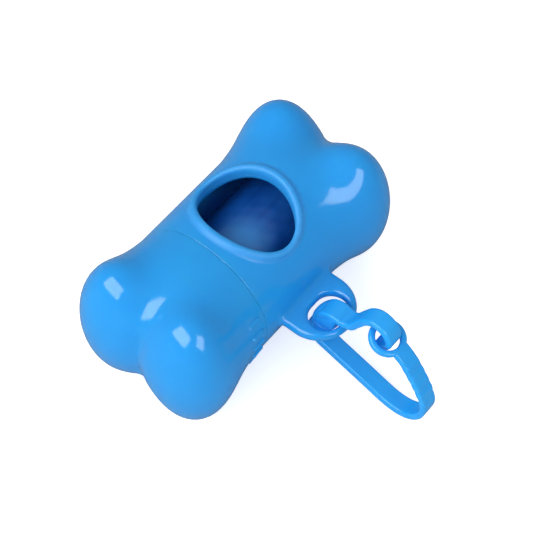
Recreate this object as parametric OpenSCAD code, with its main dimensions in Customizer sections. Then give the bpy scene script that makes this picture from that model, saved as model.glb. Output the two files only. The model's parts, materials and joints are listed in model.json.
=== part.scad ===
// Bone-shaped dispenser for a roll of waste bags, with a moulded clip for a leash.
// X runs along the bone from the screw cap to the closed end. -Y is the side of the clip.
// The bone lies on its four knuckles with its mouth up, and the origin is under the middle
// of the whole part. Sizes are in millimetres.

/* [Bone] */
// Radius of the round middle of the bone
tube_r = 19; // [18.4:0.2:21]
// Half of the straight length of the round middle
tube_half = 16; // [14:0.5:18]
// Distance of a knuckle's centre from the middle of the bone
knuckle_x = 29.8; // [28.5:0.1:32]
// Distance of a knuckle's centre from the bone's axis
knuckle_y = 10.5; // [9.5:0.1:12]
// Half length of a knuckle, along the bone
knuckle_rx = 9.4; // [9:0.1:11]
// Half width of a knuckle, across the bone
knuckle_ry = 10.6; // [10:0.1:12]
// How far a knuckle stands below the round middle, so that the bone lies on its knuckles
knuckle_foot = 0.3; // [0.2:0.1:1]
// Softness of the valley between two knuckles
valley_blend = 4; // [2:0.5:6]
// Softness of the neck between the round middle and the knuckles
neck_blend = 8.5; // [6:0.5:10]

/* [Chamber and cap] */
// Bore that holds the roll of bags, radius
bore_r = 15.7; // [15.2:0.1:16]
// Distance of the chamber's end from the middle of the bone
chamber_end = 34.3; // [33:0.1:34.6]
// Rounding of the chamber's end
chamber_round = 10.5; // [10:0.5:13]
// Distance of the seam between cap and body from the middle of the bone
seam_x = 11.8; // [11:0.1:13]
// Gap at the seam
seam_gap = 0.15; // [0.1:0.05:0.4]
// Length of the threaded neck
neck_len = 9; // [8.6:0.1:10]
// Wall of the threaded neck
neck_wall = 1.1; // [0.9:0.1:1.2]
// Height of a thread ridge
thread_h = 0.7; // [0.5:0.05:0.75]
// Running clearance of the thread, in every direction
thread_gap = 0.15; // [0.1:0.05:0.25]
// Lead of the two-start thread: the way the cap moves in one turn
thread_lead = 10; // [9:0.5:12]
// Thickness of the round seal ring
seal_t = 1; // [0.8:0.1:1.1]
// Height of the grip ribs on the cap
rib_h = 0.5; // [0.3:0.1:0.8]

/* [Mouth] */
// Distance of the mouth's centre from the middle of the bone
mouth_x = 3; // [2.5:0.1:4]
// Half length of the mouth's rim, along the bone
mouth_a = 11; // [10:0.1:12]
// Half width of the mouth's rim, across the bone
mouth_b = 13.6; // [12.5:0.1:14]
// How far the rim stands above the bone
lip_h = 0.9; // [0.5:0.1:1.4]
// Radius of the rim's rounded bead
lip_r = 1.3; // [1:0.1:1.6]

/* [Leash lug] */
// Thickness of the lug's plate
lug_t = 3; // [2.6:0.1:3.6]
// Radius of the lug's outer edge
lug_r = 9.1; // [8.6:0.1:10]
// Distance of the lug's outer edge from the bone's axis
lug_out = 32.5; // [32:0.1:33.5]
// Radius of the hole's round ends
hole_r = 4.15; // [4:0.05:4.4]
// Half distance between the centres of the hole's round ends
hole_half = 1.15; // [0.9:0.05:1.4]
// Width of the bar outside the hole
bar_w = 1.95; // [1.8:0.05:2.4]
// Place of the lug along the bone
lug_x = 1.6; // [0:0.1:4]

/* [Leash clip] */
// Width of the clip's strap
strap_w = 4.6; // [4:0.1:5]
// Thickness of the strap
strap_t = 2.4; // [2:0.1:2.6]
// Thickness of the hook
hook_t = 2; // [1.8:0.1:2.2]
// Thickness of the springy arm
arm_t = 1.7; // [1.5:0.1:1.9]
// Height of the finger grooves on the arm
groove_h = 0.25; // [0.1:0.05:0.35]
// Outer radius of the eye at the end of the arm
eye_r = 4.6; // [4.5:0.05:5]
// Inner radius of the eye
eye_hole_r = 3.1; // [3:0.05:3.4]
// Thickness of the eye
eye_t = 1.8; // [1.5:0.1:2]
// Radius of the clip's round end, inside the lug's hole
pad_r = 4; // [3.6:0.1:4.05]

/* [Roll of bags] */
// Length of the roll
roll_len = 56; // [50:1:57]
// Outer radius of the roll, part used
roll_r = 12.4; // [10:0.1:12.8]
// Outer radius of the cardboard core
core_r = 6; // [5.5:0.1:7]
// Wall of the cardboard core
core_wall = 1; // [0.8:0.1:1.3]
// Thickness of the roll's free end
tail_t = 0.3; // [0.2:0.05:0.4]
// How far the free end lifts off the roll
tail_lift = 0.3; // [0.1:0.05:0.4]

/* [Hidden] */
$fn = 96;
BLUE = [0.13, 0.56, 0.93];
SEAL = [0.10, 0.30, 0.52];
FILM = [0.12, 0.22, 0.36];
CARD = [0.62, 0.47, 0.32];

over = 1; // how far a cutting shape reaches past what it cuts
bite = 0.3; // how far a joined shape sinks into its carrier
fit = 0.02; // gap between the core and the film wound on it
around = 64; // points around the bone
knuckle_rz = tube_r + knuckle_foot;
fan_x = tube_half + 8; // where the rings start to tilt towards the end
reach_max = 1.6 * tube_r + knuckle_rx;

// The bone is a round capsule joined softly to two pairs of egg-shaped knuckles.
// bone(p) is below zero inside it.
function soft_min(a, b, k) = let (h = max(k - abs(a - b), 0) / k) min(a, b) - h * h * k / 4;
function egg(p, c, r) =
    let (q = [for (i = [0:2]) (p[i] - c[i]) / r[i]], k0 = norm(q), k1 = norm([for (i = [0:2]) q[i] / r[i]]))
    k0 * (k0 - 1) / max(k1, 0.000001);
function bone(p) =
    let (
        x = abs(p.x),
        size = [knuckle_rx, knuckle_ry, knuckle_rz],
        tube = norm([max(x - tube_half, 0), p.y, p.z]) - tube_r,
        near = egg([x, p.y, p.z], [knuckle_x, knuckle_y, 0], size),
        far = egg([x, -p.y, p.z], [knuckle_x, knuckle_y, 0], size)
    )
    soft_min(tube, soft_min(near, far, valley_blend), neck_blend);

// Distance from a point inside the bone to its surface, by halving
function reach(o, d, lo, hi, n) =
    let (m = (lo + hi) / 2) n == 0 ? m : (bone(o + d * m) < 0 ? reach(o, d, m, hi, n - 1) : reach(o, d, lo, m, n - 1));

// Rings of the bone from x = start to its +X end: each has a place on the axis and a tilt
straight_rings = 13;
tilted_rings = 12;
function rings(start) = concat(
    [for (i = [0:straight_rings - 1]) [start + (fan_x - start) * i / straight_rings, 0]],
    [for (i = [0:tilted_rings - 1]) [fan_x, 90 * i / tilted_rings]]
);
function ring_points(ring) = [
    for (j = [0:around - 1])
        let (a = 360 * j / around, d = [sin(ring[1]), cos(ring[1]) * cos(a), cos(ring[1]) * sin(a)])
        [ring[0], 0, 0] + d * reach([ring[0], 0, 0], d, 0, reach_max, 20)
];
function half_points(start) = [for (r = rings(start)) each ring_points(r)];
end_points = half_points(fan_x);
bone_low = min([for (p = end_points) p.z]);
bone_wide = max([for (p = end_points) p.y]);
bone_end = fan_x + reach([fan_x, 0, 0], [1, 0, 0], 0, reach_max, 20);

// Threaded neck and what runs on it
neck_r = bore_r + neck_wall;
cap_bore_r = neck_r + thread_h + thread_gap;
neck_end_gap = 0.4; // between the neck's end and the floor of the cap's bore
cap_bore_len = neck_len + neck_end_gap;
thread_span = 150; // degrees that one ridge covers
ridge_foot = 1.6; // width of a ridge at its foot
ridge_top = 0.7; // width of a ridge at its top
ridge_start = 3.6; // distance of the first ridge from the seam
ridge_delay = 40; // degrees by which the cap's ridges start later, clear of the seal ring
flank = (ridge_foot + ridge_top) / 2 + thread_gap * 1.5; // between the ridges of neck and cap
ridge_steps = 20;
seal_groove_w = seal_t + 0.4;
seal_groove_x = 0.5; // from the seam to the groove
seal_groove_r = neck_r - 0.5;
seal_lift = 0.13; // of the seal ring above the groove's floor
seal_mid_r = seal_groove_r + seal_lift + seal_t / 2;

// Lug and its hole: the bar outside the hole is the clip's pivot
lug_mid_y = -(lug_out - lug_r);
hole_y = -(lug_out - bar_w - hole_r);
pivot = [lug_x, -(lug_out - bar_w / 2), 0];
hinge_gap = 0.15; // around the round root of the gate

// The clip is drawn in its own plane: u runs outwards from the pivot and v is up
function cubic(a, b, c, d, t) =
    0.5 * (2 * b + (c - a) * t + (2 * a - 5 * b + 4 * c - d) * t * t + (3 * b - 3 * c + d - a) * t * t * t);
function curve(p, n) = let (last = len(p) - 1) concat(
    [for (i = [0:last - 1]) for (k = [0:n - 1]) cubic(p[max(i - 1, 0)], p[i], p[i + 1], p[min(i + 2, last)], k / n)],
    [p[last]]
);
function normal(p, i) =
    let (t = p[min(i + 1, len(p) - 1)] - p[max(i - 1, 0)]) [-t.y, t.x] / norm([t.x, t.y]);
// Outline of a band: each point of its line carries the half thickness on either side
function band(p) = concat(
    [for (i = [0:len(p) - 1]) [p[i][0], p[i][1]] + normal(p, i) * p[i][2]],
    [for (i = [len(p) - 1:-1:0]) [p[i][0], p[i][1]] - normal(p, i) * p[i][2]]
);
s_half = strap_t / 2;
h_half = hook_t / 2;
a_half = arm_t / 2;
smooth = 5; // pieces between two points of a line
strap_v = -12.5; // the strap's line below the pivot
riser_u = -6.2; // the riser's line, inwards of the pivot
eye_at = [9, 10.3]; // centre of the eye
gate_at = [25.2, 1.2]; // living hinge near the root of the arm
over_bar = bar_w / 2 + 1.35 + h_half; // the hook's line above the pivot
strap_line = [
    [gate_at.x, gate_at.y, a_half], [26.5, -0.9, a_half], [27.1, -3.4, a_half], [27, -6.2, a_half + 0.1],
    [25.6, -9.3, s_half - 0.1], [22.9, -11.5, s_half], [19, strap_v, s_half], [13, strap_v, s_half],
    [7, strap_v, s_half], [1, strap_v, s_half], [-3, strap_v + 0.2, s_half], [-5.4, strap_v + 2, s_half - 0.1],
    [riser_u, -7.4, h_half + 0.1], [riser_u, -3.2, h_half], [-5.5, 0.6, h_half], [-3.5, over_bar - 0.6, h_half],
    [-0.9, over_bar, h_half], [1, over_bar + 1.6, h_half], [1.7, 8.2, h_half], [2.7, 12.2, h_half],
    [4.7, 14.5, h_half], [7, 14.1, h_half], [8.3, 12.4, h_half - 0.05], [8.75, 10.9, h_half - 0.15],
    [8.8, 9.3, h_half - 0.25]
];
arm_line = [
    [gate_at.x, gate_at.y, a_half], [23.8, 2.8, a_half], [21.2, 5.2, a_half], [18.4, 7.4, a_half],
    [15.8, 9.2, a_half], [eye_at.x + eye_r - 0.6, eye_at.y, eye_t / 2]
];
spine_line = curve(strap_line, smooth);
gate_line = curve(arm_line, smooth);
spine_outline = band(spine_line);
arm_outline = band(gate_line);

// The clip leans until its nose lies on the floor
floor_gap = 0.03;
function drop(a) = max([for (p = spine_outline) p.x * sin(a) - p.y * cos(a)]);
function lean(lo, hi, n) =
    let (m = (lo + hi) / 2) n == 0 ? m : (drop(m) < -bone_low - floor_gap ? lean(m, hi, n - 1) : lean(lo, m, n - 1));
clip_tilt = lean(0, 45, 20);
clip_far = max([for (p = concat(spine_outline, arm_outline)) p.x * cos(clip_tilt) + p.y * sin(clip_tilt)]);

// The roll lies on the rounded ends of its chamber
roll_gap = 0.15;
chamber_r_at = bore_r - chamber_round + sqrt(
    pow(chamber_round, 2) - pow(max(roll_len / 2 - (chamber_end - chamber_round), 0), 2));
roll_z = -(chamber_r_at - roll_r - roll_gap);

// Origin: under the middle of the part's box
shift = [0, -(bone_wide + pivot.y - clip_far) / 2, -bone_low];

module place() { translate(shift) children(); }
module along_x(x) { translate([x, 0, 0]) rotate([0, 90, 0]) children(); }
module in_clip() { translate(pivot) rotate([clip_tilt, 0, 0]) rotate([90, 0, -90]) children(); }

// The solid bone from x = start to its +X end
module bone_half(start) {
    points = concat(half_points(start), [[bone_end, 0, 0]]);
    count = straight_rings + tilted_rings;
    last = count * around;
    faces = concat(
        [[for (j = [0:around - 1]) j]],
        [for (i = [0:count - 2]) for (j = [0:around - 1])
            let (k = (j + 1) % around, a = i * around) each [
                [a + j, a + around + j, a + around + k],
                [a + j, a + around + k, a + k]
            ]],
        [for (j = [0:around - 1]) let (a = (count - 1) * around) [a + j, last, a + (j + 1) % around]]
    );
    polyhedron(points, faces);
}

// The chamber from x = start to its rounded +X end, with radius r at the start
module chamber(start) {
    along_x(0) rotate_extrude()
        intersection() {
            translate([0, start]) square([bore_r, chamber_end - start]);
            union() {
                square([2 * bore_r, 2 * (chamber_end - chamber_round)], center = true);
                square([2 * (bore_r - chamber_round), 2 * chamber_end], center = true);
                translate([bore_r - chamber_round, chamber_end - chamber_round]) circle(chamber_round);
            }
        }
}

// One helical ridge about Z, from radius foot_r to top_r, starting at height z and angle a
module ridge(foot_r, top_r, z, a, span) {
    out = sign(top_r - foot_r);
    section = [
        [foot_r - out * bite, -ridge_foot / 2], [top_r, -ridge_top / 2],
        [top_r, ridge_top / 2], [foot_r - out * bite, ridge_foot / 2]
    ];
    points = [
        for (i = [0:ridge_steps])
            let (b = a + span * i / ridge_steps, h = z + thread_lead * (b - a) / 360)
            for (s = section) [s.x * cos(b), s.x * sin(b), h + s.y]
    ];
    turn = out > 0 ? [3, 2, 1, 0] : [0, 1, 2, 3];
    last = ridge_steps * 4;
    faces = concat(
        [[for (k = [0:3]) turn[k]]],
        [for (i = [0:ridge_steps - 1]) for (k = [0:3])
            let (p = i * 4 + turn[k], q = i * 4 + turn[(k + 1) % 4]) each [[p, p + 4, q + 4], [p, q + 4, q]]],
        [[for (k = [3:-1:0]) last + turn[k]]]
    );
    polyhedron(points, faces);
}

// Rounded bead that follows the curve of the bone around the mouth
module lip() {
    steps = 56;
    sides = 10;
    line_r = tube_r + lip_h - lip_r;
    centre = [
        for (i = [0:steps - 1])
            let (a = 360 * i / steps, y = mouth_b * sin(a) * line_r / (line_r + lip_r))
            [mouth_x + mouth_a * cos(a), y, sqrt(line_r * line_r - y * y)]
    ];
    points = [
        for (i = [0:steps - 1])
            let (
                c = centre[i],
                t = centre[(i + 1) % steps] - centre[(i + steps - 1) % steps],
                up = [0, c.y, c.z] / line_r,
                side = cross(t, up) / norm(cross(t, up))
            )
            for (j = [0:sides - 1]) c + lip_r * (cos(360 * j / sides) * up + sin(360 * j / sides) * side)
    ];
    faces = [
        for (i = [0:steps - 1]) for (j = [0:sides - 1])
            let (a = i * sides, b = ((i + 1) % steps) * sides, k = (j + 1) % sides)
            each [[a + j, b + k, a + k], [a + j, b + j, b + k]]
    ];
    polyhedron(points, faces);
}

module mouth_cut() {
    steps = 72;
    a = mouth_a - lip_r * 0.85;
    b = mouth_b - lip_r * 0.85;
    translate([mouth_x, 0, bore_r / 2]) linear_extrude(tube_r)
        polygon([for (i = [0:steps - 1]) [a * cos(360 * i / steps), b * sin(360 * i / steps)]]);
}

module lug() {
    translate([lug_x, 0, -lug_t / 2]) linear_extrude(lug_t) {
        translate([0, lug_mid_y]) circle(lug_r);
        translate([-lug_r, lug_mid_y]) square([2 * lug_r, -lug_mid_y - bore_r - neck_wall]);
    }
}

module lug_hole() {
    translate([lug_x, hole_y, -lug_t]) linear_extrude(2 * lug_t) {
        for (s = [-1, 1]) translate([s * hole_half, 0]) circle(hole_r);
        square([2 * hole_half, 2 * hole_r], center = true);
    }
}

module threads(foot_r, top_r, start, delay) {
    for (a = [0, 180])
        translate([-seam_x, 0, 0]) rotate([0, -90, 0])
            ridge(foot_r, top_r, start + thread_lead * delay / 360, a + delay, thread_span);
}

module body_shell() {
    color(BLUE) place() difference() {
        union() {
            bone_half(-seam_x);
            lip();
            lug();
            along_x(-seam_x - neck_len) cylinder(r = neck_r, h = neck_len + bite);
            threads(neck_r, neck_r + thread_h, ridge_start, 0);
        }
        chamber(-seam_x - neck_len - over);
        mouth_cut();
        lug_hole();
        along_x(-seam_x - seal_groove_x - seal_groove_w) difference() {
            cylinder(r = neck_r + over, h = seal_groove_w);
            translate([0, 0, -over]) cylinder(r = seal_groove_r, h = seal_groove_w + 2 * over);
        }
    }
}

module end_cap() {
    rib_w = 1.1;
    rib_len = 4;
    rib_from = 1.6; // distance of the ribs from the seam
    color(BLUE) place() {
        difference() {
            union() {
                mirror([1, 0, 0]) bone_half(seam_x + seam_gap);
                for (side = [-1, 1]) for (a = [-24, -12, 0, 12, 24])
                    rotate([a, 0, 0])
                        translate([-seam_x - rib_from - rib_len, side * (tube_r + rib_h - rib_w / 2), 0]) {
                            along_x(rib_w / 2) cylinder(d = rib_w, h = rib_len - rib_w);
                            for (x = [rib_w / 2, rib_len - rib_w / 2]) translate([x, 0, 0]) sphere(d = rib_w);
                        }
            }
            mirror([1, 0, 0]) chamber(seam_x);
            along_x(-seam_x - cap_bore_len) cylinder(r = cap_bore_r, h = cap_bore_len + over);
        }
        threads(cap_bore_r, neck_r + thread_gap, ridge_start - flank, ridge_delay);
    }
}

module seal_ring() {
    color(SEAL) place()
        along_x(-seam_x - seal_groove_x - seal_groove_w / 2)
            rotate_extrude() translate([seal_mid_r, 0]) circle(d = seal_t, $fn = 48);
}

// The film is wound on the core, and its free end lifts off the roll a little
module bag_roll() {
    steps = 16;
    span = 50;
    tail_from = 20;
    wound_r = roll_r - tail_t - tail_lift;
    tail = [for (i = [0:steps]) [wound_r + tail_lift * pow(i / steps, 2), tail_from + span * i / steps]];
    color(FILM) place() translate([0, 0, roll_z]) along_x(-roll_len / 2) difference() {
        union() {
            cylinder(r = wound_r, h = roll_len);
            linear_extrude(roll_len) polygon(concat(
                [for (p = tail) (p[0] + tail_t) * [-sin(p[1]), cos(p[1])]],
                [for (i = [steps:-1:0]) (tail[i][0] - (i == 0 ? bite : 0)) * [-sin(tail[i][1]), cos(tail[i][1])]]
            ));
        }
        translate([0, 0, -over]) cylinder(r = core_r + fit, h = roll_len + 2 * over);
    }
}

module roll_core() {
    color(CARD) place() translate([0, 0, roll_z]) along_x(-roll_len / 2) difference() {
        cylinder(r = core_r, h = roll_len);
        translate([0, 0, -over]) cylinder(r = core_r - core_wall, h = roll_len + 2 * over);
    }
}

// Strap, riser through the lug, and hook, in one piece with a round end inside the hole
module clip_spine() {
    pad_from = -4.5; // lowest point of the round end
    pad = [for (p = spine_line) if (p.x < riser_u + h_half && p.y > pad_from) p];
    color(BLUE) place() in_clip() {
        difference() {
            linear_extrude(strap_w, center = true) polygon(spine_outline);
            translate(gate_at) cylinder(r = a_half + hinge_gap, h = 2 * strap_w, center = true);
        }
        intersection() {
            linear_extrude(2 * pad_r + over, center = true) polygon(band(pad));
            translate([riser_u - h_half + pad_r, 0, 0]) rotate([90, 0, 0])
                cylinder(r = pad_r, h = 4 * pad_r, center = true);
        }
    }
}

// Springy arm with finger grooves, and the eye that drops over the hook's tip
module clip_gate() {
    grooves = 4;
    grip_from = 0.06; // of the arm's length
    grip_to = 0.78;
    grip = [for (i = [0:len(gate_line) - 1])
        let (f = (i / (len(gate_line) - 1) - grip_from) / (grip_to - grip_from), p = gate_line[i])
        [p[0], p[1], p[2] + (f > 0 && f < 1 ? groove_h * (1 - cos(360 * grooves * f)) / 2 : 0)]];
    color(BLUE) place() in_clip() difference() {
        union() {
            linear_extrude(strap_w, center = true) polygon(band(grip));
            translate(gate_at) cylinder(r = a_half, h = strap_w, center = true);
            translate(eye_at) rotate([90, 0, 0]) cylinder(r = eye_r, h = eye_t, center = true);
        }
        translate(eye_at) rotate([90, 0, 0]) cylinder(r = eye_hole_r, h = 4 * eye_t, center = true);
    }
}

body_shell();
end_cap();
seal_ring();
bag_roll();
roll_core();
clip_spine();
clip_gate();
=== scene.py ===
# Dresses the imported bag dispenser: moulded skins, their finishes, soft boxes, a floor and a camera.
# Each shape is worked out in millimetres round a point of its own, the middle of the bone or of
# the roll or the clip's pivot, and is then moved there.
import json

import bpy
import numpy as np
from mathutils import Matrix


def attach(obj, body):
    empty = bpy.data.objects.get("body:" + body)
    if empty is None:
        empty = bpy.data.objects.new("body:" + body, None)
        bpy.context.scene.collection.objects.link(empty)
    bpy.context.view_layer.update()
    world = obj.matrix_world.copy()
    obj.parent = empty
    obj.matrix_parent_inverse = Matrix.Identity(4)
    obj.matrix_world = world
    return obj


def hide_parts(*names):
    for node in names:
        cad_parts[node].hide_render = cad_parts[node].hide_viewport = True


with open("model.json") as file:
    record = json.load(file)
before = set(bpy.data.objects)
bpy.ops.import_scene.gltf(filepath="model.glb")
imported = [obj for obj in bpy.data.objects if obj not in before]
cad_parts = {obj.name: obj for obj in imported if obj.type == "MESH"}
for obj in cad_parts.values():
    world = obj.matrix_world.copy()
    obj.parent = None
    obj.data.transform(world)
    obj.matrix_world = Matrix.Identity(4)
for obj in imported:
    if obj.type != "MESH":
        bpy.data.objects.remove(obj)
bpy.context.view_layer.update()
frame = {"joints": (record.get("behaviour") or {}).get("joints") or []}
mm = 0.001
jointAt = {j["name"]: np.array(j["pos_m"]) / mm for j in frame["joints"] if "pos_m" in j}
boneCentre = jointAt["cap_turn"] * [0, 1, 1]
rollCentre = jointAt["roll_spin"]
clipPivot = jointAt["clip_swing"]
print("frame loaded")


def softMin(a, b, soft):
    # the smaller distance, less a quarter of soft times near squared: near is 1 where the two are
    # equal and 0 where they are soft or more apart, which rounds off the corner between them
    near = np.maximum(soft - np.abs(a - b), 0) / soft
    return np.minimum(a, b) - near * near * soft / 4


def softMax(a, b, soft):
    # the larger distance, rounded off in the same way
    return -softMin(-a, -b, soft)


def ramp(value, low, high):
    # 0 below low, 1 above high, and 3t^2 - 2t^3 between them
    t = np.clip((value - low) / (high - low), 0, 1)
    return t * t * (3 - 2 * t)


def ovalDistance(p, radii):
    # length of the scaled point, times how far it is past 1, over the length of its slope
    scaled = np.linalg.norm(p / radii, axis=-1)
    slope = np.linalg.norm(p / np.square(radii), axis=-1)
    return scaled * (scaled - 1) / np.maximum(slope, 1e-6)


def skinOfGrid(grid, ringed=False, poles=False):
    # quads between neighbours of a rows x columns grid whose columns close; ringed closes the rows
    # too, and poles gathers the first and the last row, which have shrunk to a point
    rows, columns = grid.shape[:2]
    number = np.arange(rows * columns).reshape(rows, columns)
    if poles:
        number[0], number[-1] = number[0, 0], number[-1, 0]
    here = number if ringed else number[:-1]
    there = np.roll(number, -1, axis=0) if ringed else number[1:]
    quads = np.stack([here, np.roll(here, -1, 1), np.roll(there, -1, 1), there], -1)
    tris = np.zeros((0, 3), int)
    if poles:
        tris = np.concatenate([quads[0][:, [0, 2, 3]], quads[-1][:, [0, 1, 2]]])
        quads = quads[1:-1]
    return grid.reshape(-1, 3), quads.reshape(-1, 4), tris


def skinOfField(field, axes, pulls):
    # the surface where a distance is zero: each cell that it crosses gets one point, at the mean of
    # the crossings on its edges; a quad joins the four cells round each crossed edge; the points
    # are then pulled along the slope of the distance until they lie on the surface
    grid = np.stack(np.meshgrid(*axes, indexing="ij"), -1)
    value = field(grid)
    cells = np.array(value.shape) - 1
    total, count, crossings = np.zeros((*cells, 3)), np.zeros(cells), []
    for axis in range(3):
        low, high = [slice(None)] * 3, [slice(None)] * 3
        low[axis], high[axis] = slice(None, -1), slice(1, None)
        before, after = value[tuple(low)], value[tuple(high)]
        crossed = (before < 0) != (after < 0)
        share = before / np.where(crossed, before - after, 1)
        point = grid[tuple(low)] + share[..., None] * (grid[tuple(high)] - grid[tuple(low)])
        one, two = [a for a in range(3) if a != axis]
        for i, j in ((0, 0), (0, 1), (1, 0), (1, 1)):
            part = [slice(None)] * 3
            part[one], part[two] = slice(i, i + cells[one]), slice(j, j + cells[two])
            here = crossed[tuple(part)]
            total[here] += point[tuple(part)][here]
            count += here
        crossings.append((crossed, before < 0))
    used = count > 0
    number = np.full(cells, -1)
    number[used] = np.arange(used.sum())
    points = total[used] / count[used][:, None]
    quads, steps = [], np.eye(3, dtype=int)
    for axis, (crossed, inner) in enumerate(crossings):
        one, two = (axis + 1) % 3, (axis + 2) % 3
        at = np.argwhere(crossed)
        whole = (at[:, one] > 0) & (at[:, two] > 0)
        whole &= (at[:, one] < cells[one]) & (at[:, two] < cells[two])
        at = at[whole]
        quad = np.stack([number[tuple((at - a * steps[one] - b * steps[two]).T)]
                         for a, b in ((1, 1), (0, 1), (0, 0), (1, 0))], 1)
        turned = ~inner[crossed][whole]
        quad[turned] = quad[turned][:, ::-1]
        quads.append(quad)
    feeler, gentlest, furthest = 0.02, 0.3, 0.25
    for pull in range(pulls):
        slope = np.stack([(field(points + feeler * e) - field(points - feeler * e)) / (2 * feeler)
                          for e in np.eye(3)], -1)
        steep = np.maximum((slope ** 2).sum(-1), gentlest)
        move = np.clip(field(points) / steep, -furthest, furthest)
        points = points - move[:, None] * slope
    return points, np.concatenate(quads), np.zeros((0, 3), int)


def makePiece(name, skin, place, body, nodes, material, sharp=None, soft=None):
    # a closed skin that comes out with a negative volume is turned round before it is used; soft
    # says, for each point, how much of the shine is taken off there
    points, quads, tris = skin
    fans = np.concatenate([tris, quads[:, :3], quads[:, [0, 2, 3]]])
    a, b, c = (points[fans[:, k]] for k in range(3))
    if (a * np.cross(b, c)).sum() < 0:
        quads, tris = quads[:, ::-1], tris[:, ::-1]
    mesh = bpy.data.meshes.new(name)
    mesh.from_pydata(((points + place) * mm).tolist(), [], quads.tolist() + tris.tolist())
    mesh.validate()
    mesh.shade_smooth()
    if sharp:
        mesh.set_sharp_from_angle(angle=np.radians(sharp))
    if soft is not None:
        mesh.attributes.new("soft", "FLOAT", "POINT").data.foreach_set("value", soft)
    mesh.materials.append(material)
    piece = bpy.data.objects.new(name, mesh)
    bpy.context.scene.collection.objects.link(piece)
    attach(piece, body)
    if nodes:
        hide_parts(*nodes)
    print(name, len(mesh.polygons), "faces")


def addNode(tree, kind, links=None, **values):
    # a value goes to the socket of that name, or else to the node itself
    node = tree.nodes.new(kind)
    for key, value in values.items():
        if key in node.inputs:
            node.inputs[key].default_value = value
        else:
            setattr(node, key, value)
    for key, source in (links or {}).items():
        tree.links.new(source, node.inputs[key])
    return node


def newMaterial(name):
    material = bpy.data.materials.new(name)
    material.use_nodes = True
    return material, material.node_tree, material.node_tree.nodes["Principled BSDF"]


wear = {"flowTwist": 1.2, "smudgeSize": 95.0, "smudgeSpeckle": 0.7,
        "hairSize": (900.0, 60.0, 240.0), "hairTurn": (0.4, 0.9, 0.2),
        "hairFrom": 0.66, "hairTo": 0.78}


def mouldedGroup():
    # plastic from a mould: slow drifts of colour where it flowed, a fine orange peel, and faint
    # smudges and hairlines that change how sharply it shines
    group = bpy.data.node_groups.new("mouldedPlastic", "ShaderNodeTree")
    for name in ("Colour", "Flow Colour"):
        group.interface.new_socket(name=name, in_out="INPUT", socket_type="NodeSocketColor")
    for name in ("Flow Size", "Peel Size", "Peel Height",
                 "Smooth", "Smudged", "Soft Rough", "Soft"):
        group.interface.new_socket(name=name, in_out="INPUT", socket_type="NodeSocketFloat")
    for name, kind in (("Colour", "Color"), ("Roughness", "Float"), ("Normal", "Vector")):
        group.interface.new_socket(name=name, in_out="OUTPUT", socket_type="NodeSocket" + kind)
    given = group.nodes.new("NodeGroupInput").outputs
    result = group.nodes.new("NodeGroupOutput").inputs
    place = addNode(group, "ShaderNodeTexCoord").outputs["Object"]
    flow = addNode(group, "ShaderNodeTexNoise", {"Vector": place, "Scale": given["Flow Size"]},
                   Detail=2.0, Distortion=wear["flowTwist"])
    colour = addNode(group, "ShaderNodeMix", {0: flow.outputs["Fac"], 6: given["Colour"],
                                              7: given["Flow Colour"]}, data_type="RGBA")
    smudge = addNode(group, "ShaderNodeTexNoise", {"Vector": place}, Scale=wear["smudgeSize"],
                     Detail=4.0, Roughness=wear["smudgeSpeckle"])
    hair = addNode(group, "ShaderNodeMapping", {"Vector": place}, Scale=wear["hairSize"],
                   Rotation=wear["hairTurn"])
    hairline = addNode(group, "ShaderNodeTexNoise", {"Vector": hair.outputs[0]}, Scale=1.0,
                       Detail=3.0)
    line = addNode(group, "ShaderNodeMapRange", {"Value": hairline.outputs["Fac"]},
                   **{"From Min": wear["hairFrom"], "From Max": wear["hairTo"]})
    wearAndPaintedLight = addNode(group, "ShaderNodeMath", {0: smudge.outputs["Fac"], 1: line.outputs[0]},
                   operation="ADD")
    base = addNode(group, "ShaderNodeMath",
                   {0: given["Soft"], 1: given["Soft Rough"], 2: given["Smooth"]},
                   operation="MULTIPLY_ADD")
    rough = addNode(group, "ShaderNodeMath",
                    {0: wearAndPaintedLight.outputs[0], 1: given["Smudged"], 2: base.outputs[0]},
                    operation="MULTIPLY_ADD")
    peel = addNode(group, "ShaderNodeTexNoise", {"Vector": place, "Scale": given["Peel Size"]},
                   Detail=2.0)
    bump = addNode(group, "ShaderNodeBump",
                   {"Height": peel.outputs["Fac"], "Distance": given["Peel Height"]}, Strength=1.0)
    group.links.new(colour.outputs[2], result["Colour"])
    group.links.new(rough.outputs[0], result["Roughness"])
    group.links.new(bump.outputs["Normal"], result["Normal"])
    return group


mould = mouldedGroup()


def mouldedPlastic(name, look):
    # a look holds the group's own values and the shader's
    material, tree, shader = newMaterial(name)
    cast = addNode(tree, "ShaderNodeGroup", node_tree=mould)
    for key, value in look["cast"].items():
        cast.inputs[key].default_value = value
    soft = addNode(tree, "ShaderNodeAttribute", attribute_name="soft")
    tree.links.new(soft.outputs["Fac"], cast.inputs["Soft"])
    tree.links.new(cast.outputs["Colour"], shader.inputs["Base Color"])
    tree.links.new(cast.outputs["Roughness"], shader.inputs["Roughness"])
    tree.links.new(cast.outputs["Normal"], shader.inputs["Normal"])
    for key, value in look["shader"].items():
        shader.inputs[key].default_value = value
    return material


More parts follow.
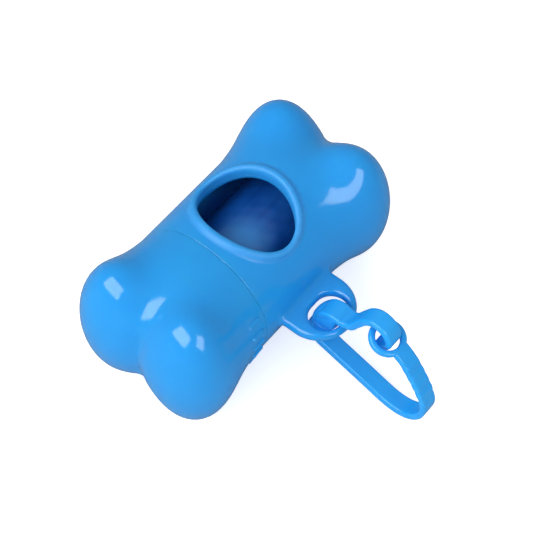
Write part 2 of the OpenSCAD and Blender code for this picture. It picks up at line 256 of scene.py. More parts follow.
shellLook = {
    "cast": {"Colour": (0.019, 0.325, 0.78, 1), "Flow Colour": (0.014, 0.29, 0.74, 1),
             "Flow Size": 28.0, "Peel Size": 420.0, "Peel Height": 0.00002,
             "Smooth": 0.10, "Smudged": 0.05, "Soft Rough": 0.42},
    "shader": {"IOR": 1.5, "Subsurface Weight": 0.3, "Subsurface Scale": 0.004,
               "Subsurface Radius": (0.3, 0.7, 1.0)},
}
clipLook = {
    "cast": {"Colour": (0.026, 0.41, 0.92, 1), "Flow Colour": (0.016, 0.32, 0.84, 1),
             "Flow Size": 60.0, "Peel Size": 700.0, "Peel Height": 0.00003,
             "Smooth": 0.14, "Smudged": 0.10},
    "shader": {"IOR": 1.45, "Subsurface Weight": 0.15, "Subsurface Scale": 0.0015,
               "Subsurface Radius": (0.3, 0.7, 1.0)},
}
rubberLook = {
    "cast": {"Colour": (0.01, 0.07, 0.22, 1), "Flow Colour": (0.008, 0.05, 0.16, 1),
             "Flow Size": 80.0, "Peel Size": 1500.0, "Peel Height": 0.00004,
             "Smooth": 0.45, "Smudged": 0.1},
    "shader": {"IOR": 1.5},
}
shellPlastic = mouldedPlastic("skyGlossPlastic", shellLook)
clipPlastic = mouldedPlastic("skySatinPlastic", clipLook)
sealRubber = mouldedPlastic("darkBlueRubber", rubberLook)


def addTones(tree, source, dark, pale, span):
    # one colour below the span, the other above it, and a blend between
    tones = addNode(tree, "ShaderNodeValToRGB", {"Fac": source})
    for end, colour, position in zip(tones.color_ramp.elements, (dark, pale), span):
        end.color, end.position = colour, position
    return tones.outputs["Color"]


# pale is the colour of a painted pool of light on the film under the mouth, where light falls in
# through it
filmLook = {"shade": (0.001, 0.05, 0.26, 1), "light": (0.002, 0.09, 0.38, 1), "span": (0.3, 0.75),
            "foldSize": (60.0, 260.0, 260.0), "foldTwist": 0.8, "crinkle": 0.0001,
            "roughFrom": 0.28, "roughTo": 0.5,
            "pale": (0.03, 0.23, 0.60, 1), "paintedLightX": -0.5, "paintedLightY": -2.5,
            "paintedLightInner": 0.001, "paintedLightOuter": 0.0095}


def filmFinish():
    # wound film: fine crinkles that run along the roll, a sheen that they break up, and a painted
    # pool of light under the mouth, where light falls in through it, found by its distance seen from
    # above
    material, tree, shader = newMaterial("windingFilm")
    place = addNode(tree, "ShaderNodeTexCoord").outputs["Object"]
    long = addNode(tree, "ShaderNodeMapping", {"Vector": place}, Scale=filmLook["foldSize"])
    fold = addNode(tree, "ShaderNodeTexNoise", {"Vector": long.outputs[0]}, Scale=1.0, Detail=5.0,
                   Distortion=filmLook["foldTwist"]).outputs["Fac"]
    # the colour goes from shade to light with the crinkles' height: painted shade in their hollows
    tone = addTones(tree, fold, filmLook["shade"], filmLook["light"], filmLook["span"])
    # painted light: the film is paler near a point under the mouth, measured in plan
    flat = addNode(tree, "ShaderNodeMapping", {"Vector": place}, Scale=(1.0, 1.0, 0.0))
    aside = addNode(tree, "ShaderNodeVectorMath", {0: flat.outputs[0]}, operation="DISTANCE")
    aside.inputs[1].default_value = (filmLook["paintedLightX"] * mm,
                                     (rollCentre[1] + filmLook["paintedLightY"]) * mm, 0)
    wearAndPaintedLight = addNode(tree, "ShaderNodeMapRange", {"Value": aside.outputs["Value"]},
                   interpolation_type="SMOOTHSTEP",
                   **{"From Min": filmLook["paintedLightInner"], "From Max": filmLook["paintedLightOuter"]})
    pale = addNode(tree, "ShaderNodeMix", {0: wearAndPaintedLight.outputs[0], 7: tone}, data_type="RGBA")
    pale.inputs[6].default_value = filmLook["pale"]
    rough = addNode(tree, "ShaderNodeMapRange", {"Value": fold},
                    **{"To Min": filmLook["roughFrom"], "To Max": filmLook["roughTo"]})
    bump = addNode(tree, "ShaderNodeBump", {"Height": fold}, Distance=filmLook["crinkle"])
    tree.links.new(pale.outputs[2], shader.inputs["Base Color"])
    tree.links.new(rough.outputs[0], shader.inputs["Roughness"])
    tree.links.new(bump.outputs["Normal"], shader.inputs["Normal"])
    return material


boardLook = {"dark": (0.24, 0.16, 0.09, 1), "pale": (0.47, 0.35, 0.21, 1), "rough": 0.85,
             "fibreSize": (500.0, 1500.0, 1500.0), "fibreSpeckle": 0.7, "fibreHigh": 0.0001}


def boardFinish():
    # brown board: short fibres along the tube, lighter and darker, on a dull rough face
    material, tree, shader = newMaterial("coreBoard")
    place = addNode(tree, "ShaderNodeTexCoord").outputs["Object"]
    along = addNode(tree, "ShaderNodeMapping", {"Vector": place}, Scale=boardLook["fibreSize"])
    fibre = addNode(tree, "ShaderNodeTexNoise", {"Vector": along.outputs[0]}, Scale=1.0, Detail=6.0,
                    Roughness=boardLook["fibreSpeckle"]).outputs["Fac"]
    tone = addTones(tree, fibre, boardLook["dark"], boardLook["pale"], (0, 1))
    bump = addNode(tree, "ShaderNodeBump", {"Height": fibre}, Distance=boardLook["fibreHigh"])
    tree.links.new(tone, shader.inputs["Base Color"])
    tree.links.new(bump.outputs["Normal"], shader.inputs["Normal"])
    shader.inputs["Roughness"].default_value = boardLook["rough"]
    return material


windingFilm = filmFinish()
coreBoard = boardFinish()
print("finishes made")

# the bone is the body and the cap together: x runs along it, the mouth is up and the lug at -y
bone = {"tubeR": 19.0, "tubeHalf": 16.0, "knuckle": (9.4, 10.6, 19.3), "knuckleAt": (29.8, 10.5),
        "valley": 4.0, "neck": 8.5, "seam": 11.8, "seamEdge": 0.25, "inset": 0.03,
        "crease": 0.65, "creaseWide": 4.2, "creaseFrom": (31.0, 34.5), "creaseUpTo": (5.0, 11.5)}
chamber = {"radius": 15.7, "end": 34.3, "rounding": 10.5, "edge": 0.5}
screw = {"neckR": 16.8, "neckLen": 9.0, "neckEdge": 0.5, "rootIn": 1.0, "rootMelt": 0.3,
         "boreR": 17.65, "boreLen": 9.4, "height": 0.7, "foot": 1.6, "top": 0.7,
         "lead": 10.0, "span": 150.0, "fade": 9.0, "from": 3.6, "mateBack": 1.375, "mateTurn": 40.0}
seal = {"midR": 16.93, "fromSeam": 1.2, "thick": 1.0, "rows": 160, "columns": 20,
        "grooveHalf": 0.7, "grooveDeep": 0.4, "grooveEdge": 0.2,
        "backing": 0.2, "backingSpan": (1, 3)}
mouth = {"x": 3.0, "a": 11.0, "b": 13.6, "proud": 0.9, "bead": 1.3, "melt": 0.6, "cutIn": 1.1,
         "edge": 0.9, "footEdge": 0.5, "softFrom": 0.2, "softOver": 0.9}
lug = {"x": 1.6, "r": 9.1, "out": 32.5, "thick": 3.0, "bar": 1.95, "holeR": 4.15, "holeHalf": 1.15,
       "edge": 1.5, "fillet": 1.5}


def boneDistance(p):
    # a round capsule softly joined to two pairs of egg-shaped knuckles, the same at both ends, with
    # a crease between the knuckles of each end face
    folded, aside, tall = np.abs(p[..., 0]), p[..., 1], p[..., 2]
    tube = np.sqrt(np.maximum(folded - bone["tubeHalf"], 0) ** 2 + aside ** 2 + tall ** 2)
    tube = tube - bone["tubeR"]
    kx, ky = bone["knuckleAt"]
    eggs = [ovalDistance(np.stack([folded - kx, aside - side * ky, tall], -1),
                         np.array(bone["knuckle"])) for side in (-1, 1)]
    crease = bone["crease"] * np.maximum(1 - np.abs(aside) / bone["creaseWide"], 0) ** 2
    crease = crease * ramp(folded, *bone["creaseFrom"])
    crease = crease * (1 - ramp(np.abs(tall), *bone["creaseUpTo"]))
    both = softMin(eggs[0], eggs[1], bone["valley"])
    return softMin(tube, both, bone["neck"]) + bone["inset"] + crease


def ridgeHeight(angle, fromSeam, first, delay):
    # two ridges, half a turn apart: each climbs by the lead in a turn, is a trapezium across, and
    # fades out at both of its ends
    best = np.zeros(np.broadcast(angle, fromSeam).shape)
    for begin in (0, 180):
        turned = (angle - begin - delay) % 360
        off = np.abs(fromSeam - first - screw["lead"] * (turned + delay) / 360)
        flank = (screw["foot"] - screw["top"]) / 2
        across = np.clip((screw["foot"] / 2 - off) / flank, 0, 1)
        along = np.clip(np.minimum(turned, screw["span"] - turned) / screw["fade"], 0, 1)
        best = np.maximum(best, across * along)
    return best * screw["height"]


def chamberDistance(p):
    # a cylinder whose far ends are rounded off
    inner = chamber["radius"] - chamber["rounding"]
    out = np.hypot(p[..., 1], p[..., 2]) - inner
    along = np.abs(p[..., 0]) - (chamber["end"] - chamber["rounding"])
    corner = np.hypot(np.maximum(out, 0), np.maximum(along, 0))
    return corner + np.minimum(np.maximum(out, along), 0) - chamber["rounding"]


def lugDistance(p):
    # a round-ended plate, with its edges rounded
    x = p[..., 0] - lug["x"]
    midY = -(lug["out"] - lug["r"])
    disc = np.hypot(x, p[..., 1] - midY) - lug["r"]
    lengthwise = np.maximum(midY - p[..., 1], p[..., 1] + screw["neckR"])
    root = np.maximum(np.abs(x) - lug["r"], lengthwise)
    return softMax(np.minimum(disc, root), np.abs(p[..., 2]) - lug["thick"] / 2, lug["edge"])


def lugHoleDistance(p):
    # distance to a short line along x, less the hole's radius; it goes through the plate
    x = np.maximum(np.abs(p[..., 0] - lug["x"]) - lug["holeHalf"], 0)
    return np.hypot(x, p[..., 1] + lug["out"] - lug["bar"] - lug["holeR"]) - lug["holeR"]


def beadDistance(p):
    # a round bead on the bone's curve: its line is an oval when it is laid out on the tube
    rise, lineR = np.hypot(p[..., 1], p[..., 2]), bone["tubeR"] + mouth["proud"] - mouth["bead"]
    lean = np.maximum(p[..., 2], 0.01) / np.maximum(rise, 0.01)
    b = mouth["b"] * lineR / (lineR + mouth["bead"])
    q = np.stack([(p[..., 0] - mouth["x"]) / mouth["a"],
                  p[..., 1] / np.maximum(rise, 0.01) * lineR / b], -1)
    scaled = np.linalg.norm(q, axis=-1)
    slope = np.hypot(q[..., 0] / mouth["a"], q[..., 1] / b * lean)
    aside = scaled * (scaled - 1) / np.maximum(slope, 1e-4)
    faraway = 20.0  # below the middle of the bone there is no bead
    return np.where(p[..., 2] > 0, np.hypot(aside, rise - lineR) - mouth["bead"], faraway)


def mouthDistance(p):
    # an oval shaft that starts halfway from the axis to the chamber's wall
    radii = np.array([mouth["a"], mouth["b"]]) - mouth["cutIn"]
    cut = ovalDistance(p[..., :2] - [mouth["x"], 0], radii)
    return softMax(cut, chamber["radius"] / 2 - p[..., 2], mouth["footEdge"])


def bodyDistance(p):
    # the bone, with the lug and the bead melted on and the lug's hole taken away, is cut at the
    # seam; the neck, with its ridges and the seal's groove, is joined to it; the chamber and the
    # mouth are taken away from both
    fromAxis, fromSeam = np.hypot(p[..., 1], p[..., 2]), -p[..., 0] - bone["seam"]
    skin = softMin(boneDistance(p), lugDistance(p), lug["fillet"])
    skin = softMax(skin, -lugHoleDistance(p), lug["edge"])
    skin = softMin(skin, beadDistance(p), mouth["melt"])
    skin = softMax(skin, fromSeam, bone["seamEdge"])
    turn = np.degrees(np.arctan2(p[..., 1], p[..., 2]))
    neck = fromAxis - screw["neckR"] - ridgeHeight(turn, fromSeam, screw["from"], 0)
    neck = softMax(neck, fromSeam - screw["neckLen"], screw["neckEdge"])
    neck = np.maximum(neck, -fromSeam - screw["rootIn"])
    offSeal, grooveR = np.abs(fromSeam - seal["fromSeam"]), screw["neckR"] - seal["grooveDeep"]
    groove = np.maximum(offSeal - seal["grooveHalf"], grooveR - fromAxis)
    body = softMin(skin, softMax(neck, -groove, seal["grooveEdge"]), screw["rootMelt"])
    backing = seal["backing"] * (1 - ramp(offSeal, *seal["backingSpan"]))  # a thicker wall there
    body = softMax(body, -backing - chamberDistance(p), chamber["edge"])
    return softMax(body, -mouthDistance(p), mouth["edge"])


# the grid's lines stand closer together at the seam, where the edge is sharp
pitch, neckPitch, nearPitch, seamPitch = 0.5, 0.4, 0.14, 0.06
alongBone = np.concatenate([np.arange(-21.6, -12.6, neckPitch), np.arange(-12.6, -12, nearPitch),
                            np.arange(-12, -11.5, seamPitch), [-11.4, -11.3],
                            np.arange(-11.2, 40.2, pitch)])
bodyAxes = [alongBone, np.arange(-33.2, 22.3, pitch), np.arange(-20.05, 20.8, pitch)]
bodySkin = skinOfField(bodyDistance, bodyAxes, pulls=5)
lipSoft = 1 - ramp(beadDistance(bodySkin[0]), mouth["softFrom"], mouth["softOver"])
makePiece("boneBody", bodySkin, boneCentre, "body", ["body_shell"], shellPlastic,
          soft=lipSoft)

cap = {"gap": 0.05, "edge": 0.12, "columns": 240, "tilts": 46, "step": 0.25, "fan": 24.0,
       "ribs": (-204, -192, -180, -24, -12, 0, 12, 24), "ribWide": 1.1, "ribHigh": 0.5,
       "ribLong": 4.0, "ribFrom": 1.6, "ribColumns": (0.5, 1, 1.35, 1.6, 1.75, 2.1),
       "faceIn": 0.5, "boreEdge": (0.1, 0.12), "boreRows": (0.3, 0.2), "shoulder": 0.25,
       "shoulderR": (0.6, 0.1), "edgeRows": 6, "arcRows": 15}


def reachOf(origin, way):
    # how far the bone's surface is from a point on its axis, found by halving
    furthest, halvings = 42.0, 26
    low, high = np.zeros(way.shape[:-1]), np.full(way.shape[:-1], furthest)
    for halving in range(halvings):
        middle = (low + high) / 2
        inside = boneDistance(origin + way * middle[..., None]) < 0
        low, high = np.where(inside, middle, low), np.where(inside, high, middle)
    return low


def capOutside(turns, ribTurns):
    # from the outer pole the rows fan out from one point on the axis, and then they run square to
    # the axis to the seam; a rib is a half round laid on the bone, with round ends
    c, s = np.cos(np.radians(turns)), np.sin(np.radians(turns))
    last = bone["seam"] + cap["gap"] + cap["edge"]
    tilt = np.radians(np.linspace(90, 0, cap["tilts"]))[:, None]
    base = np.concatenate([np.full(len(tilt), cap["fan"]),
                           np.arange(cap["fan"], last, -cap["step"])[1:], [last]])
    tilt = np.concatenate([tilt, np.zeros((len(base) - len(tilt), 1))])
    way = np.stack([-np.sin(tilt) + 0 * c, np.cos(tilt) * c, np.cos(tilt) * s], -1)
    origin = np.stack([-base, 0 * base, 0 * base], -1)[:, None]
    reach = reachOf(origin, way)
    offTurn = np.abs((turns[:, None] - ribTurns + 180) % 360 - 180).min(1)
    offTurn = offTurn * np.radians(1) * bone["tubeR"]
    ribMid = bone["seam"] + cap["ribFrom"] + cap["ribLong"] / 2
    offLong = np.maximum(np.abs(base - ribMid) - (cap["ribLong"] - cap["ribWide"]) / 2, 0)
    off = np.hypot(offTurn[None], offLong[:, None]) / (cap["ribWide"] / 2)
    reach += np.where(tilt == 0, cap["ribHigh"] * np.sqrt(np.maximum(1 - off ** 2, 0)), 0)
    return origin + way * reach[..., None], reach[-1]


def capInside(turns, seamR):
    # round the edge at the seam, down the threaded bore, along the chamber and to the inner pole
    c, s = np.cos(np.radians(turns)), np.sin(np.radians(turns))
    seam, boreEnd = bone["seam"] + cap["gap"], bone["seam"] + screw["boreLen"]
    edge = np.radians(np.linspace(0, 90, cap["edgeRows"]))[1:]
    rim = seamR[None] - cap["edge"] * (1 - np.cos(edge))[:, None]
    rimX = seam + cap["edge"] * (1 - np.sin(edge))
    boreX = np.arange(seam + cap["boreRows"][0], seam + screw["boreLen"] - cap["boreRows"][1],
                      cap["step"])
    inX = np.array([seam, seam, seam + cap["boreEdge"][0], *boreX, boreEnd])[:, None]
    inR = np.full(len(inX), screw["boreR"])
    inR[:2] += cap["faceIn"], cap["boreEdge"][1]
    mateFrom = screw["from"] - screw["mateBack"]  # the cap's ridges run beside the neck's
    ridges = ridgeHeight(90 - turns, inX - bone["seam"], mateFrom, screw["mateTurn"])
    inR = inR[:, None] + 0 * c - ridges
    arc = np.radians(np.linspace(0, 90, cap["arcRows"]))
    endX = np.concatenate([[boreEnd, boreEnd, boreEnd + cap["shoulder"]],
                           chamber["end"] - chamber["rounding"] * (1 - np.sin(arc)),
                           [chamber["end"]] * 2])
    small = chamber["radius"] - chamber["rounding"]
    endR = np.concatenate([chamber["radius"] + np.array([*cap["shoulderR"], 0]),
                           small + chamber["rounding"] * np.cos(arc), [small / 2, 0]])
    x = np.concatenate([rimX[:, None] + 0 * c, inX + 0 * c, endX[:, None] + 0 * c])
    r = np.concatenate([rim, inR, endR[:, None] + 0 * c])
    return np.stack([-x, r * c, r * s], -1)


def capSkin():
    # the outside and then the inside, in columns that go round the bone, closer at the ribs
    ribTurns, beside = 180 + np.array(cap["ribs"]), np.array([0, *cap["ribColumns"]])
    turns = np.concatenate([np.linspace(0, 360, cap["columns"], endpoint=False),
                            ((ribTurns[:, None] + beside) % 360).ravel(),
                            ((ribTurns[:, None] - beside) % 360).ravel()])
    turns = np.unique(np.round(turns, 3))
    outside, seamR = capOutside(turns, ribTurns)
    return skinOfGrid(np.concatenate([outside, capInside(turns, seamR)]), poles=True)


makePiece("screwCap", capSkin(), boneCentre, "cap", ["end_cap"], shellPlastic,
          sharp=50)


def sealSkin():
    # a small circle carried round the neck
    turn = np.linspace(0, 2 * np.pi, seal["rows"], endpoint=False)[:, None]
    small = np.linspace(0, 2 * np.pi, seal["columns"], endpoint=False)
    r = seal["midR"] + seal["thick"] / 2 * np.cos(small)
    x = -bone["seam"] - seal["fromSeam"] + seal["thick"] / 2 * np.sin(small)
    return skinOfGrid(np.stack([x + 0 * turn, r * np.cos(turn), r * np.sin(turn)], -1), ringed=True)


makePiece("sealRing", sealSkin(), boneCentre, "seal", ["seal_ring"], sealRubber)

# the roll of bags on its core
roll = {"half": 28.0, "woundR": 12.2, "layer": 0.03, "lift": 0.03, "tailFrom": 20.0,
        "tailTo": 70.0, "tailGap": 0.02, "holeR": 6.02, "edge": 0.35, "crinkle": 0.05,
        "columns": 240, "rows": 110, "endRows": 13, "edgeRows": 5,
        "coreR": 6.0, "coreWall": 1.0, "coreEdge": 0.15, "coreColumns": 96}


def rollSkin():
    # rows run across one end, along the outside and back across the other end; columns go round,
    # and the radius grows by one layer in a turn, lifts a little more before the free end and drops
    # back there; three sets of waves at a slant crinkle the outside
    turns = np.linspace(roll["tailTo"] + roll["tailGap"], roll["tailTo"] + 360 - roll["tailGap"],
                        roll["columns"])
    grown = np.clip((turns - roll["tailTo"]) / (360 - roll["tailTo"] + roll["tailFrom"]), 0, 1)
    tail = (turns - 360 - roll["tailFrom"]) / (roll["tailTo"] - roll["tailFrom"])
    outer = roll["woundR"] + roll["layer"] * grown + roll["lift"] * np.clip(tail, 0, 1) ** 2
    bend = np.radians(np.linspace(0, 90, roll["edgeRows"]))
    straight = roll["half"] - roll["edge"]
    along = np.linspace(-straight, straight, roll["rows"])[1:-1]
    ends = np.ones(roll["endRows"])
    endX = np.concatenate([roll["half"] * ends, roll["half"] - roll["edge"] * (1 - np.cos(bend))])
    endInset = np.concatenate([0 * ends, roll["edge"] * (1 - np.sin(bend))])
    endPart = np.concatenate([np.linspace(0, 1, roll["endRows"], endpoint=False), 1 + 0 * bend])
    x = np.concatenate([-endX, along, endX[::-1]])[:, None]
    inset = np.concatenate([endInset, 0 * along, endInset[::-1]])[:, None]
    part = np.concatenate([endPart, 1 + 0 * along, endPart[::-1]])[:, None]
    t = np.radians(turns)
    r = roll["holeR"] + (outer - roll["edge"] - roll["holeR"]) * part
    r = r + np.where(part == 1, roll["edge"] - inset, 0)
    fold = (np.sin(0.9 * x + 3 * t) * np.sin(7 * t + 0.21 * x)
            + 0.6 * np.sin(1.7 * x - 11 * t + 2) + 0.5 * np.sin(0.37 * x + 17 * t))
    r = r + roll["crinkle"] * fold * (part == 1) * (inset == 0)
    return skinOfGrid(np.stack([x + 0 * t, r * np.cos(t), r * np.sin(t)], -1), ringed=True)


def coreSkin():
    # a tube's wall carried round: out along the inside, back along the outside, edges softened
    half, soft, outR = roll["half"], roll["coreEdge"], roll["coreR"]
    inR = outR - roll["coreWall"]
    x = np.array([-half + soft, half - soft, half, half, half - soft, -half + soft, -half, -half])
    r = np.array([inR, inR, inR + soft, outR - soft, outR, outR, outR - soft, inR + soft])
    x, r = x[:, None], r[:, None]
    t = np.linspace(0, 2 * np.pi, roll["coreColumns"], endpoint=False)
    return skinOfGrid(np.stack([x + 0 * t, r * np.cos(t), r * np.sin(t)], -1), ringed=True)


makePiece("bagRoll", rollSkin(), rollCentre, "roll", ["bag_roll"], windingFilm,
          sharp=45)
makePiece("rollCore", coreSkin(), rollCentre, "roll", ["roll_core"], coreBoard,
          sharp=60)

# the leash clip is drawn in its own plane: u runs outwards from the pivot, v is up, w is across
clip = {"wide": 4.6, "strapV": -12.5, "riserU": -6.2, "overBar": 3.325, "strap": 1.2, "hook": 1.0,
        "arm": 0.85, "gate": (25.2, 1.2), "eye": (9.0, 10.3), "eyeR": 4.6, "eyeHole": 3.1,
        "eyeHalf": 0.9, "eyeEdge": 0.6, "eyeColumns": 32, "eyeRows": 72, "edge": 0.55,
        "swell": 0.4, "swellV": (-5, -1), "swellU": (-1.5, 3.5), "swellTop": 8,
        "grooves": 4, "grooveHigh": 0.17, "grooveFrom": 0.06, "grooveSpan": 0.72,
        "slim": 0.08, "slimTo": 0.12, "row": 0.35, "endRows": 7, "cornerColumns": 6,
        "sideStep": 0.25, "thinnest": 0.05, "edgeSpare": 0.02, "leastW": 0.02, "leastH": 0.01}
gateOff = jointAt["gate_open"] - clipPivot
clipTilt = np.arctan2(clip["gate"][1], clip["gate"][0]) - np.arctan2(gateOff[2], -gateOff[1])


def strapLine():
    # u, v and half thickness, from the hinge round the strap and up the riser to the hook's tip
    v, riser, bar, s, h, a = (clip[k] for k in
                              ("strapV", "riserU", "overBar", "strap", "hook", "arm"))
    return np.array([
        [*clip["gate"], a], [26.5, -0.9, a], [27.1, -3.4, a], [27, -6.2, a + 0.1],
        [25.6, -9.3, s - 0.1], [22.9, -11.5, s], [19, v, s], [13, v, s], [7, v, s], [1, v, s],
        [-3, v + 0.2, s], [-5.4, v + 2, s - 0.1], [riser, -7.4, h + 0.1], [riser, -3.2, h],
        [-5.5, 0.6, h], [-3.5, bar - 0.6, h], [-0.9, bar, h], [1, bar + 1.6, h], [1.7, 8.2, h],
        [2.7, 12.2, h], [4.7, 14.5, h], [7.6, 14.5, h], [9.6, 12.9, h - 0.1],
        [10.3, 11.2, h - 0.2], [10, 9.6, h - 0.25], [8.9, 8.5, h - 0.3], [7.4, 8.1, h - 0.35]])


def armLine():
    # u, v and half thickness, from the hinge to the side of the eye
    a, sunk = clip["arm"], 0.6
    return np.array([
        [*clip["gate"], a], [23.8, 2.8, a], [21.2, 5.2, a], [18.4, 7.4, a], [15.8, 9.2, a],
        [clip["eye"][0] + clip["eyeR"] - sunk, clip["eye"][1], clip["eyeHalf"]]])


def curveThrough(points, pieces=8):
    # each stretch between two points is a cubic that also looks at the points before and after
    p = np.vstack([points[:1], points, points[-1:]])
    t = np.linspace(0, 1, pieces, endpoint=False)[:, None]
    a, b, c, d = p[:-3, None], p[1:-2, None], p[2:-1, None], p[3:, None]
    square, cube = 2 * a - 5 * b + 4 * c - d, 3 * b - 3 * c + d - a
    curve = 0.5 * (2 * b + (c - a) * t + square * t ** 2 + cube * t ** 3)
    return np.vstack([curve.reshape(-1, 3), points[-1:]])


def toPlace(u, v, w):
    # from the clip's leaning plane to the part's own directions
    across = u * np.cos(clipTilt) + v * np.sin(clipTilt)
    tall = v * np.cos(clipTilt) - u * np.sin(clipTilt)
    return np.stack([-w, -across, tall], -1)


def bandSkin(line, caps, shapeOf):
    # a rounded rectangle is carried along the line, square to it; shapeOf gives its half width and
    # its half thickness for each place, and each end is rounded over its own length
    way = np.gradient(line[:, :2], axis=0)
    length = np.concatenate([[0], np.cumsum(np.linalg.norm(np.diff(line[:, :2], axis=0), axis=1))])
    way /= np.linalg.norm(way, axis=1)[:, None]
    bend = np.radians(np.linspace(90, 0, clip["endRows"]))
    start, stop = caps
    end = length[-1] + stop["past"]
    main = np.arange(start["from"] + start["round"], end - stop["round"], clip["row"])[1:]
    at = np.concatenate([start["from"] + start["round"] * (1 - np.sin(bend)), main,
                         end - stop["round"] * (1 - np.sin(bend[::-1]))])
    inset = np.concatenate([start["round"] * (1 - np.cos(bend)), 0 * main,
                            stop["round"] * (1 - np.cos(bend[::-1]))])
    clamped = np.clip(at, 0, length[-1])
    u, v, half, wayU, wayV = (np.interp(clamped, length, k) for k in (*line.T, *way.T))
    beyond = at - clamped
    u, v = u + wayU * beyond, v + wayV * beyond
    wide, thick = shapeOf(u, v, half, clamped / length[-1])
    fromEnd = np.where(at < at.mean(), start["narrow"], stop["narrow"])
    wide = (wide - inset * fromEnd)[:, None]
    thick = np.maximum(thick - inset, clip["thinnest"])[:, None]
    edge = np.minimum(clip["edge"], thick - clip["edgeSpare"])
    # each quarter is a round corner, with one more point on the flat before it and after it
    corner = np.radians([0, *np.linspace(0, 90, clip["cornerColumns"]), 90])
    quarter = np.arange(4)
    hold = np.zeros((2, 4, len(corner)))
    hold[1 - quarter % 2, quarter, 0] = hold[quarter % 2, quarter, -1] = clip["sideStep"]
    holdW, holdH = hold.reshape(2, -1)
    sideW, sideH = (np.repeat(side, len(corner)) for side in ((1, -1, -1, 1), (1, 1, -1, -1)))
    turn = (corner + quarter[:, None] * np.pi / 2).ravel()
    w = sideW * np.maximum(wide - edge - holdW, clip["leastW"]) + edge * np.cos(turn)
    h = sideH * np.maximum(thick - edge - holdH, clip["leastH"]) + edge * np.sin(turn)
    grid = toPlace(u[:, None] - wayV[:, None] * h, v[:, None] + wayU[:, None] * h, w)
    first, last = (np.repeat(row.mean(1, keepdims=True), grid.shape[1], 1)
                   for row in (grid[:1], grid[-1:]))
    return skinOfGrid(np.concatenate([first, grid, last]), poles=True)


def spineShape(u, v, half, share):
    # a little wider where the band comes out of the pad and crosses the lug's bar
    swell = clip["swell"] * ramp(v, *clip["swellV"]) * ramp(-u, *clip["swellU"])
    return clip["wide"] / 2 + swell * (v < clip["swellTop"]), half


def armShape(u, v, half, share):
    # four soft waves for grip; near the hinge it is a little slimmer than the spine it turns in
    wave = np.clip((share - clip["grooveFrom"]) / clip["grooveSpan"], 0, 1)
    wave = (1 - np.cos(2 * np.pi * clip["grooves"] * wave)) / 2
    slim = clip["slim"] * (1 - ramp(share, 0, clip["slimTo"]))
    return clip["wide"] / 2 - slim, half - slim + clip["grooveHigh"] * wave


pad = {"y": 5.1, "z": -1.1, "half": (4.5, 3.5), "up": 3.8, "down": 1.1, "lean": 1.2, "full": 0.75,
       "ledge": (-3.2, -2.2), "low": -0.15, "clear": 1.75, "rows": 49, "columns": 72}


def padSkin():
    # a dome with a rounded underside: an oval that shrinks towards the top, which leans to the bar;
    # beside the band's edge its height falls away to a low ledge, and nothing comes nearer to the
    # pivot than the lug's bar lets it swing
    rise = np.linspace(0, np.pi, pad["rows"])[:, None]
    turn = np.linspace(0, 2 * np.pi, pad["columns"], endpoint=False)
    out = np.sin(rise) ** pad["full"]
    tall = np.sign(np.cos(rise)) * np.abs(np.cos(rise)) ** pad["full"]
    x = pad["half"][0] * out * np.cos(turn)
    up = pad["up"] * (pad["low"] + (1 - pad["low"]) * ramp(x, *pad["ledge"]))
    z = pad["z"] + np.where(tall > 0, up, pad["down"]) * tall
    y = pad["y"] + pad["half"][1] * out * np.sin(turn) - pad["lean"] * np.maximum(tall, 0)
    push = np.maximum(pad["clear"] / np.hypot(y, z), 1)
    return skinOfGrid(np.stack([x, y * push, z * push], -1), poles=True)


def eyeSkin():
    # a rounded rectangle carried round the eye's middle; a quarter turn falls midway on a flat side
    mid, flat = (clip["eyeR"] + clip["eyeHole"]) / 2, (clip["eyeR"] - clip["eyeHole"]) / 2
    edge = clip["eyeEdge"]
    corner = np.linspace(0, 2 * np.pi, clip["eyeColumns"], endpoint=False)
    r = mid + np.sign(np.cos(corner).round(6)) * (flat - edge) + edge * np.cos(corner)
    h = np.sign(np.sin(corner).round(6)) * (clip["eyeHalf"] - edge) + edge * np.sin(corner)
    turn = np.linspace(0, 2 * np.pi, clip["eyeRows"], endpoint=False)[:, None]
    u, v = clip["eye"][0] + r * np.cos(turn), clip["eye"][1] + h + 0 * turn
    return skinOfGrid(toPlace(u, v, r * np.sin(turn)), ringed=True)


# how each end of a band is closed: where it starts or stops, the length that is rounded, and how
# much of that rounding its width gets
hingeEnd = {"from": -0.84, "round": 0.84, "narrow": 0.2}
pinEnd = {"from": -0.76, "round": 0.76, "narrow": 0.2}
hookEnd = {"past": 0, "round": 0.5, "narrow": 0.8}
sunkEnd = {"past": 0.3, "round": 0.3, "narrow": 1.0}
spineSkin = bandSkin(curveThrough(strapLine()), (hingeEnd, hookEnd), spineShape)
makePiece("clipSpine", spineSkin, clipPivot, "clip", ["clip_spine"], clipPlastic)
makePiece("clipPad", padSkin(), clipPivot, "clip", [], clipPlastic)
armSkin = bandSkin(curveThrough(armLine()), (pinEnd, sunkEnd), armShape)
makePiece("clipArm", armSkin, clipPivot, "gate", ["clip_gate"], clipPlastic)
makePiece("clipEye", eyeSkin(), clipPivot, "gate", [], clipPlastic)

# floor, light and camera
white = (1, 1, 1, 1)
stage = {"floorHalf": 3.0, "floorColour": (0.86, 0.86, 0.86, 1), "floorRough": 0.9, "floorIor": 1.2,
         "floorGlow": 0.58, "floorShine": 0.3, "worldLight": 0.56, "worldShine": 0.28}


def byRay(tree, output, plain, shine, shown):
    # the camera sees shown, a glossy ray meets shine, and every other ray meets plain
    seen = addNode(tree, "ShaderNodeLightPath").outputs
    under = addNode(tree, "ShaderNodeMixShader", {0: seen["Is Glossy Ray"], 1: plain, 2: shine})
    choice = addNode(tree, "ShaderNodeMixShader",
                     {0: seen["Is Camera Ray"], 1: under.outputs[0], 2: shown})
    tree.links.new(choice.outputs[0], tree.nodes[output].inputs["Surface"])


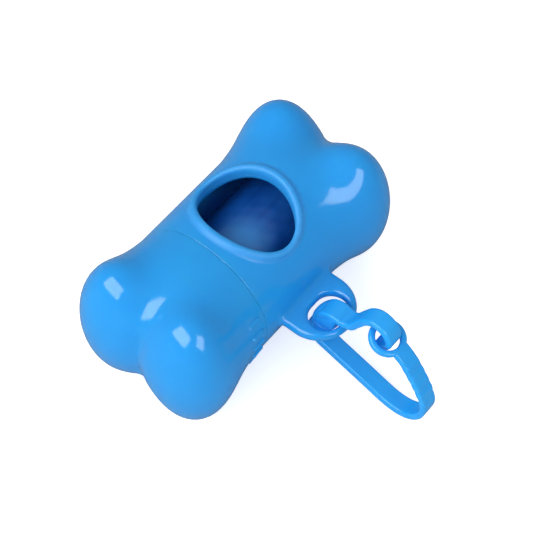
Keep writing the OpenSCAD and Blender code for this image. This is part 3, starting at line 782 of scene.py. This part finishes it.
def addFloor():
    # a large pale square, which glows a little for the camera alone
    mesh = bpy.data.meshes.new("floor")
    h = stage["floorHalf"]
    mesh.from_pydata([(-h, -h, 0), (h, -h, 0), (h, h, 0), (-h, h, 0)], [], [(0, 1, 2, 3)])
    floor = bpy.data.objects.new("floor", mesh)
    bpy.context.scene.collection.objects.link(floor)
    material, tree, shader = newMaterial("paleFloor")
    shader.inputs["Base Color"].default_value = stage["floorColour"]
    shader.inputs["Roughness"].default_value = stage["floorRough"]
    shader.inputs["IOR"].default_value = stage["floorIor"]
    glow = addNode(tree, "ShaderNodeEmission", Strength=stage["floorGlow"])
    both = addNode(tree, "ShaderNodeAddShader", {0: shader.outputs[0], 1: glow.outputs[0]})
    dim = addNode(tree, "ShaderNodeBsdfDiffuse", Color=[stage["floorShine"]] * 3 + [1])
    byRay(tree, "Material Output", shader.outputs[0], dim.outputs[0], both.outputs[0])
    mesh.materials.append(material)


def addWorld():
    # even light from all round; the camera sees plain white
    world = bpy.data.worlds.new("studio")
    bpy.context.scene.world = world
    world.use_nodes = True
    tree = world.node_tree
    plain = tree.nodes["Background"]
    plain.inputs["Color"].default_value = white
    plain.inputs["Strength"].default_value = stage["worldLight"]
    dim, shown = (addNode(tree, "ShaderNodeBackground", Color=white, Strength=strength).outputs[0]
                  for strength in (stage["worldShine"], 1.0))
    byRay(tree, "World Output", plain.outputs[0], dim, shown)


def lookFrom(azimuth, elevation):
    # azimuth 0 looks along +Y; gives the directions back to the eye, to the right and up
    a, e = np.radians(azimuth), np.radians(elevation)
    back = np.array([np.sin(a) * np.cos(e), -np.cos(a) * np.cos(e), np.sin(e)])
    right = np.array([np.cos(a), np.sin(a), 0])
    return back, right, np.cross(back, right)


def rolled(right, up, degrees):
    # both directions turned about the line of sight
    t = np.radians(degrees)
    return right * np.cos(t) + up * np.sin(t), up * np.cos(t) - right * np.sin(t)


def placeBy(obj, right, up, back, where):
    # the object's own x, y and z point right, up and back
    turn = [[*row, 0] for row in np.stack([right, up, back], 1).tolist()]
    obj.matrix_world = Matrix(turn + [[0, 0, 0, 1]])
    obj.location = where


softBoxes = {
    "softBoxLeft": {"azimuth": -107.7, "elevation": 42.3, "distance": 0.995, "turn": 88.9,
                    "size": (0.79, 1.19), "watts": 8.5, "shine": 14.0},
    "softBoxFront": {"azimuth": -7.7, "elevation": 34.9, "distance": 1.5, "turn": -46,
                     "size": (0.70, 1.10), "watts": 3.6, "shine": 10.5},
}


def addSoftBoxes():
    # each box is two lamps in one place: one for the light it gives, one for its own reflection
    for name, box in softBoxes.items():
        back, right, up = lookFrom(box["azimuth"], box["elevation"])
        right, up = rolled(right, up, box["turn"])
        for part, power in (("Light", box["watts"]), ("Shine", box["shine"])):
            lamp = bpy.data.lights.new(name + part, "AREA")
            lamp.shape, lamp.size, lamp.size_y, lamp.energy = "RECTANGLE", *box["size"], power
            lamp.cycles.use_multiple_importance_sampling = part == "Shine"
            light = bpy.data.objects.new(name + part, lamp)
            light.visible_glossy, light.visible_diffuse = part == "Shine", part == "Light"
            bpy.context.scene.collection.objects.link(light)
            placeBy(light, right, up, back, boneCentre * mm + back * box["distance"])


eye = {"azimuth": -51.195, "elevation": 57.771, "roll": 0.647, "distance": 489.0, "focal": 2041.6,
       "centre": (236.953, 256.939), "side": 540, "sensor": 36.0}


def addCamera():
    # the camera stands back from the bone's middle, and is turned aside until that middle falls on
    # the pixel called centre
    back, right, up = lookFrom(eye["azimuth"], eye["elevation"])
    right, up = rolled(right, up, eye["roll"])
    offX, offY = ((eye["side"] - 1) / 2 - at for at in eye["centre"])
    ahead = -back * eye["focal"] + right * offX - up * offY
    where = (boneCentre + back * eye["distance"]) * mm
    back = -ahead / np.linalg.norm(ahead)
    right = right - back * (right @ back)
    right /= np.linalg.norm(right)
    data = bpy.data.cameras.new("camera")
    data.sensor_width, data.lens = eye["sensor"], eye["sensor"] * eye["focal"] / eye["side"]
    camera = bpy.data.objects.new("camera", data)
    bpy.context.scene.collection.objects.link(camera)
    placeBy(camera, right, np.cross(back, right), back, where)
    bpy.context.scene.camera = camera


addFloor()
addWorld()
addSoftBoxes()
addCamera()
bpy.context.scene.view_settings.view_transform = "Standard"
print("stage set")
